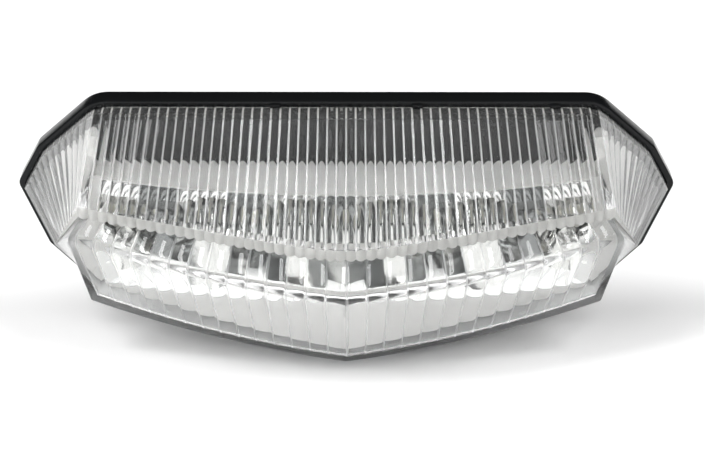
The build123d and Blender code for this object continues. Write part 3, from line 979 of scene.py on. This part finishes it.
def cap_planes(work: BMesh, planes: tuple[float, ...]) -> None:
    """Fills the flat faces, with their holes, between open edges that lie in planes of y."""
    for y in planes:
        loops = [e for e in open_edges(work) if all(abs(v.co.y - y * MM) < 1e-7 for v in e.verts)]
        bmesh.ops.triangle_fill(work, use_beauty=True, use_dissolve=False, edges=loops)


def closed_piece(
    name: str,
    sheets: list[Sheet],
    materials: list[Material],
    planes: tuple[float, ...] = (),
) -> bpy.types.Object:
    """Joins sheets, fills the named planes and reports any edge left open."""
    work = raw_mesh(sheets)
    cap_planes(work, planes)
    if open_edges(work):
        LOG.warning("%s: %d open edges", name, len(open_edges(work)))
    return add_object(name, work, materials)


# ---------------------------------------------------------------- housing
@dataclass
class Housing:
    """Black tray with a rounded rim, a raised back, snap bumps, standoffs and rails."""

    finish: Material
    rim_w: float = 1.5
    step_y: float = -4.5
    floor_y: float = -6.5
    well_y: float = -3.5
    back_y: float = -1.5
    plateau_in: float = 6.0
    wall: float = 2.0
    hole_r: Pair = (3.5, 2.0)
    bump_x: tuple[float, ...] = (-15.0, 15.0, 44.0)
    bump_z: float = 23.75
    bump_half: Pair = (1.3, 0.45)
    post_x: float = 38.0
    post_z: tuple[float, ...] = (6.5, -11.5)
    post_y: float = -7.0
    rail_x: float = 12.0
    rail_z: float = -17.0
    rail_y: float = -16.0

    def shell(self) -> list[Sheet]:
        """Rings from the well floor over the rim to the back face, and the hole walls."""
        stations = [
            (self.plateau_in + self.wall, self.well_y),
            (self.plateau_in + self.wall, self.floor_y),
            (self.rim_w, self.floor_y),
            (self.rim_w, RIM_Y),
            (0.0, RIM_Y),
            (0.0, self.step_y),
            (self.plateau_in, self.step_y),
            (self.plateau_in, self.back_y),
            (self.plateau_in + 1.0, self.back_y),
        ]
        profile = eased(stations, 0.35, 4)
        rings = ring_stack([(OUTLINE.loop(inset), y) for inset, y in profile])
        rings.points[..., 1] = np.round(rings.points[..., 1], 6)
        return [rings, *hole_walls(*self.hole_r, self.well_y, self.back_y)]

    def bumps(self) -> list[Sheet]:
        """Low rounded snap bumps along the top of the rim's inner edge."""
        profile = [(1e-4, 0.3), (1.0, 0.3), (1.0, -0.3), (0.93, -0.62), (0.78, -0.77)]
        profile += [(0.5, -0.8), (1e-4, -0.8)]
        shares = [(share, RIM_Y + y) for share, y in profile]
        bump = squircle(0, 0, 1.0, 3.5) * np.array(self.bump_half)
        loops = [bump + [x, self.bump_z] for x in self.bump_x]
        return [swelled(loop, shares) for loop in loops]

    def posts(self) -> list[Sheet]:
        """Screw bosses for the main board, each a turned tube on the well floor."""
        low, high = self.well_y + 0.2, self.post_y
        profile = [(1.3, low), (2.9, low), (2.6, low - 0.8), (2.6, high), (1.3, high), (1.3, low)]
        rounded_off = eased(profile, 0.15)
        return [turned(x, z, rounded_off) for z in self.post_z for x in (-self.post_x, self.post_x)]

    def rails(self) -> list[Sheet]:
        """Two rounded rails that carry the plate-light board."""
        low, high = self.well_y + 0.2, self.rail_y
        shares = [(1e-4, low), (1.0, low), (1.0, high + 0.15), (0.88, high), (1e-4, high)]
        loops = [squircle(x, self.rail_z, 1.0, 8.0) for x in (-self.rail_x, self.rail_x)]
        return [swelled(loop, shares) for loop in loops]

    def build(self) -> bpy.types.Object:
        """Makes the housing."""
        sheets = [*self.shell(), *self.bumps(), *self.posts(), *self.rails()]
        piece = closed_piece("housing_shell", sheets, [self.finish], (self.well_y, self.back_y))
        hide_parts("rear_housing")
        return piece


@dataclass
class BasePad:
    """Rubber pad with rounded edges and one sealing groove round its back face."""

    finish: Material
    inset: float = 7.0
    thick: float = 1.5
    groove: Triple = (2.2, 1.6, 0.4)
    hole_r: Pair = (5.3, 4.1)

    def build(self) -> bpy.types.Object:
        """Makes the pad."""
        start, width, depth = self.groove
        stations = [
            (self.inset + 6.0, -self.thick),
            (self.inset, -self.thick),
            (self.inset, 0.0),
            (self.inset + start, 0.0),
            (self.inset + start + 0.2, -depth),
            (self.inset + start + width - 0.2, -depth),
            (self.inset + start + width, 0.0),
            (self.inset + 6.0, 0.0),
        ]
        profile = eased(stations, 0.18)
        sheets = [ring_stack([(OUTLINE.loop(inset), y) for inset, y in profile])]
        sheets += hole_walls(*self.hole_r, -self.thick, 0.0)
        piece = closed_piece("rubber_pad", sheets, [self.finish], (-self.thick, 0.0))
        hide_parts("base_pad")
        return piece


@dataclass
class Stud:
    """Rear mounting stud: M6 thread with a chamfered tip, plain neck and round head."""

    finish: Material
    node: str
    x: float
    radius: float = 3.0
    out: float = 14.0
    pitch: float = 1.0
    root: float = 0.61
    tip: float = 0.8
    neck: Pair = (3.5, -3.5)
    head: Pair = (5.0, -5.3)

    def thread(self) -> Sheet:
        """Helical thread.

        With h = y / pitch - angle / (2 pi), the radius is R - root * pitch * tri(h), where
        tri is a triangle wave with flattened crests and roots, fading out at both ends.
        """
        angle = np.linspace(0, math.tau, 49)
        y = np.linspace(0.0, self.out, int(self.out / self.pitch) * 12 + 1)[:, None]
        helix = y / self.pitch - angle[None] / math.tau
        wave = np.abs(2 * (helix - np.floor(helix)) - 1)
        cut = self.root * self.pitch * np.clip((wave - 0.1) / 0.75, 0, 1)
        fade = np.clip(y / (1.2 * self.pitch), 0, 1)
        tip = np.clip((y - (self.out - self.tip)) / self.tip, 0, 1)
        radius = np.minimum(self.radius - cut * fade, self.radius - self.tip * tip)
        y = np.broadcast_to(y, radius.shape)
        return Sheet(
            np.stack([self.x + radius * np.cos(angle), y, radius * np.sin(angle)], axis=-1)
        )

    def build(self) -> bpy.types.Object:
        """Makes the stud."""
        neck_r, neck_y = self.neck
        head_r, head_y = self.head
        end, tip = self.out, self.radius - self.tip
        profile = [(0.0, head_y), (head_r, head_y), (head_r, neck_y), (neck_r, neck_y)]
        profile = [*eased([*profile, (neck_r, 0.0)], 0.3), (self.radius, 0.0)]
        sheets = [turned(self.x, 0.0, profile), self.thread()]
        sheets.append(turned(self.x, 0.0, [(tip, end), (tip - 0.4, end), (0.0, end)]))
        piece = closed_piece(self.node + "_thread", sheets, [self.finish])
        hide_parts(self.node)
        return piece


@dataclass
class TurnedPiece:
    """A piece revolved from one profile of (radius, y) that stands for a CAD node."""

    node: str
    slot: str
    finish: Material
    z: float
    profile: list[Pair]
    x: float = 0.0
    ease: float = 0.15

    def build(self) -> bpy.types.Object:
        """Makes the piece."""
        profile = eased(self.profile, self.ease)
        sheets = [turned(self.x, self.z, profile)]
        piece = closed_piece(self.node + "_turned", sheets, [self.finish])
        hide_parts(self.node)
        return piece


@dataclass
class Led:
    """Surface-mount LED: chamfered white package, round cup and a phosphor-filled middle."""

    node: str
    package: Material
    phosphor: Material
    centre: Pair
    half: float
    base: float
    height: float
    upright: bool = False

    def build(self) -> bpy.types.Object:
        """Makes the LED facing -Y, or facing down on the plate board."""
        top = self.base - self.height
        cup = 0.76 * self.half
        floor, floor_y = cup * 0.86, top + 0.3 * self.height
        profile = [
            (1e-4, 2.0, self.base),
            (self.half, 14.0, self.base),
            (self.half, 14.0, self.base - 0.7 * self.height),
            (self.half - 0.12, 14.0, top + 0.03),
            (self.half - 0.2, 12.0, top),
            (cup + 0.06, 2.0, top),
            (cup, 2.0, top + 0.05),
            (floor, 2.0, floor_y),
        ]
        stations = [(squircle(0, 0, half, power), y) for half, power, y in profile]
        dome = []
        for turn in np.linspace(0, math.pi / 2, 6):
            reach = max(floor * math.cos(turn), 1e-4)
            dome.append((squircle(0, 0, reach, 2.0), floor_y - 0.12 * self.height * math.sin(turn)))
        body, fill = ring_stack(stations), ring_stack(dome)
        fill.slot = 1
        across, along_z = self.centre
        for sheet in (body, fill):
            if self.upright:
                sheet.points = sheet.points[..., [0, 2, 1]] + [across, along_z, 0]
            else:
                sheet.points = sheet.points + [across, 0, along_z]
        piece = closed_piece(self.node + "_package", [body, fill], [self.package, self.phosphor])
        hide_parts(self.node)
        return piece


# ---------------------------------------------------------------- studio
class Seen(Enum):
    """Where a lamp can be seen besides the light it casts on opaque surfaces."""

    NOWHERE = "nowhere"
    THROUGH = "through clear plastic"
    MIRRORED = "through clear plastic and in reflections"


@dataclass(frozen=True)
class Lamp:
    """One rectangular soft lamp that faces the object; place and size are in metres."""

    name: str
    place: Triple
    size: Pair
    power: float
    seen: Seen = Seen.THROUGH

    def hang(self) -> None:
        """Adds the lamp to the set."""
        data = bpy.data.lights.new(self.name, "AREA")
        data.shape = "RECTANGLE"
        data.size, data.size_y = self.size
        data.energy = self.power
        lamp = bpy.data.objects.new(self.name, data)
        lamp.location = self.place
        lamp.visible_glossy = self.seen is Seen.MIRRORED
        lamp.visible_transmission = self.seen is not Seen.NOWHERE
        lamp.rotation_euler = (-Vector(self.place)).to_track_quat("-Z", "Y").to_euler()
        bpy.context.scene.collection.objects.link(lamp)


@dataclass(frozen=True)
class Studio:
    """White product set: pale floor, bright sky, soft lamps and the camera.

    Each sky ramp is an axis, its start and end, and the strengths there.
    """

    floor_z: float = -28.6
    floor_reach: float = 3.0
    focal: float = 110.06
    distance: float = 450.0
    azimuth: float = 0.17
    elevation: float = 25.0
    aim: Triple = (0.0, -25.0, 0.0)
    shift: Pair = (6.478 / 705, 3.371 / 705)
    sky_tone: Triple = (0.05, 0.05, 0.05)
    sky_ramps: tuple[tuple[int, float, float, float, float], ...] = (
        (1, -0.3, 0.5, 1.0, 0.12),
        (2, 0.3, 0.65, 0.22, 1.45),
        (2, 0.75, 0.95, 1.0, 0.8),
    )
    sky_soft: float = 1.15
    lamps: tuple[Lamp, ...] = (
        Lamp("top", (-0.25, -0.35, 1.2), (0.7, 1.2), 3.5, Seen.NOWHERE),
        Lamp("left", (-0.95, -0.3, 1.0), (0.5, 1.1), 18.5),
        Lamp("right", (0.95, -0.3, 1.0), (0.5, 1.1), 15.0),
        Lamp("fill", (-0.8, -1.3, 0.45), (1.2, 0.8), 9.0),
        Lamp("front", (0.4, -1.2, 0.75), (0.8, 0.3), 3.0, Seen.MIRRORED),
    )

    def floor(self) -> None:
        """Lays a plain pale floor."""
        mesh = bpy.data.meshes.new("floor")
        corners = np.array([(-1, -1, 0), (1, -1, 0), (1, 1, 0), (-1, 1, 0)]) * self.floor_reach
        mesh.from_pydata((corners + [0, 0, self.floor_z * MM]).tolist(), [], [(0, 1, 2, 3)])
        net = Net("floor")
        tone = net.blend(net.noise(6.0), (0.90, 0.90, 0.90), (0.88, 0.88, 0.88))
        mesh.materials.append(net.surface(Base_Color=tone, Roughness=0.9, Specular_IOR_Level=0.0))
        floor = bpy.data.objects.new("floor", mesh)
        bpy.context.scene.collection.objects.link(floor)

    def sky(self) -> None:
        """Lights the set from a world that is bright in front and dark behind.

        Opaque surfaces get one even strength. Mirrors and clear plastic see the product of
        the three ramps.
        """
        net = Net("studio", "worlds")
        place = net.node("ShaderNodeTexCoord", output="Generated")
        glow = 1.0
        for axis, *ends in self.sky_ramps:
            share = net.node("ShaderNodeSeparateXYZ", sockets={0: place}, output=axis)
            sockets = dict(enumerate((share, *ends)))
            glow = net.node("ShaderNodeMapRange", sockets=sockets) * glow
        diffuse = net.node("ShaderNodeLightPath", output="Is Diffuse Ray")
        power = net.node("ShaderNodeMix", sockets={0: diffuse, 2: glow, 3: self.sky_soft})
        lit = net.node("ShaderNodeBackground", sockets={"Color": self.sky_tone, "Strength": power})
        net.node("ShaderNodeOutputWorld", sockets={"Surface": lit})
        bpy.context.scene.world = net.owner

    def camera(self) -> None:
        """Points the camera at the front from above."""
        data = bpy.data.cameras.new("camera")
        data.lens = self.focal
        data.shift_x, data.shift_y = self.shift
        data.clip_end = 100.0
        camera = bpy.data.objects.new("camera", data)
        side, up = math.radians(self.azimuth), math.radians(self.elevation)
        back = Vector((math.sin(side) * math.cos(up), -math.cos(side) * math.cos(up), math.sin(up)))
        camera.location = (Vector(self.aim) + back * self.distance) * MM
        camera.rotation_euler = back.to_track_quat("Z", "Y").to_euler()
        scene = bpy.context.scene
        scene.collection.objects.link(camera)
        scene.camera = camera
        scene.view_settings.view_transform = "Standard"

    def build(self) -> None:
        """Sets up the whole studio."""
        self.floor()
        self.sky()
        for lamp in self.lamps:
            lamp.hang()
        self.camera()


@dataclass
class Electronics:
    """The LEDs, and the finishes of the boards and of the parts on them."""

    frame: dict
    finishes: Finishes
    cell_x: tuple[float, ...] = (-48.4, -28.4, -9.5, 9.5, 28.4, 48.4)
    cell_z: float = -1.8
    plate_x: tuple[float, ...] = (-10.0, 0.0, 10.0)
    plate_y: float = -15.0
    tail_size: Triple = (2.5, -8.6, 1.4)
    plate_size: Triple = (1.75, -19.2, 1.0)

    def build(self) -> None:
        """Makes the LEDs and dresses the rest."""
        package, phosphor = self.finishes.package.make(), self.finishes.phosphor.make()
        for number, x in enumerate(self.cell_x, start=1):
            place = (x, self.cell_z)
            Led(f"tail_led_{number}", package, phosphor, place, *self.tail_size).build()
        for number, x in enumerate(self.plate_x, start=1):
            place = (x, self.plate_y)
            Led(f"plate_led_{number}", package, phosphor, place, *self.plate_size, True).build()
        dress(self.frame, ("main_board", "plate_board"), self.finishes.mask.make())
        dress(self.frame, ("resistors", "diode", "regulator"), self.finishes.epoxy.make())
        dress(self.frame, ("wire_header",), self.finishes.nylon.make())
        dress(self.frame, ("capacitor",), self.finishes.can.make())


def fittings(finishes: Finishes) -> list[TurnedPiece]:
    """The turned pieces in the back wall."""
    rubber, vent = finishes.rubber.make(), finishes.vent.make()
    grommet = [(1.6, -4.7), (4.8, -4.7), (4.8, -3.5), (3.5, -3.5), (3.5, -1.5), (4.8, -1.5)]
    grommet += [(4.8, -0.3), (3.5, -0.3), (3.3, 1.8), (3.15, 2.1), (3.15, 2.7), (3.2, 3.0)]
    grommet += [(2.95, 5.6), (2.9, 6.0), (1.6, 6.0), (1.6, -4.7)]
    plug = [(0.0, -4.5), (2.4, -4.5), (2.6, -3.5), (2.0, -3.5), (2.0, -1.5), (3.6, -1.5)]
    plug += [(3.6, -0.5), (2.9, -0.4), (2.7, -0.7), (2.2, -0.7), (2.0, -0.45), (0.0, -0.4)]
    return [
        TurnedPiece("cable_grommet", "pad_rubber", rubber, GROMMET_Z, grommet),
        TurnedPiece("vent_plug", "vent_plastic", vent, VENT_Z, plug),
    ]


def main() -> None:
    """Builds the visual model on the frame and reports each piece."""
    logging.basicConfig(level=logging.INFO, format="%(name)s: %(message)s")
    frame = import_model()
    finishes = Finishes()
    skins = (finishes.clear, finishes.satin, finishes.frost_and_highlight, finishes.milky)
    Lens([skin.make() for skin in skins]).build()
    Housing(finishes.housing.make()).build()
    BasePad(finishes.rubber.make()).build()
    zinc = finishes.zinc.make()
    for node, x in (("stud_left", -STUD_X), ("stud_right", STUD_X)):
        Stud(zinc, node, x).build()
    for piece in fittings(finishes):
        piece.build()
    Electronics(frame, finishes).build()
    dress(frame, ("board_screws",), zinc)
    dress(frame, ("lens_seal",), finishes.silicone.make())
    dress(frame, ("upper_reflector",), finishes.plated.make())
    dress(frame, ("lower_reflector",), finishes.trough.make())
    Studio().build()


if __name__ == "__main__":
    main()
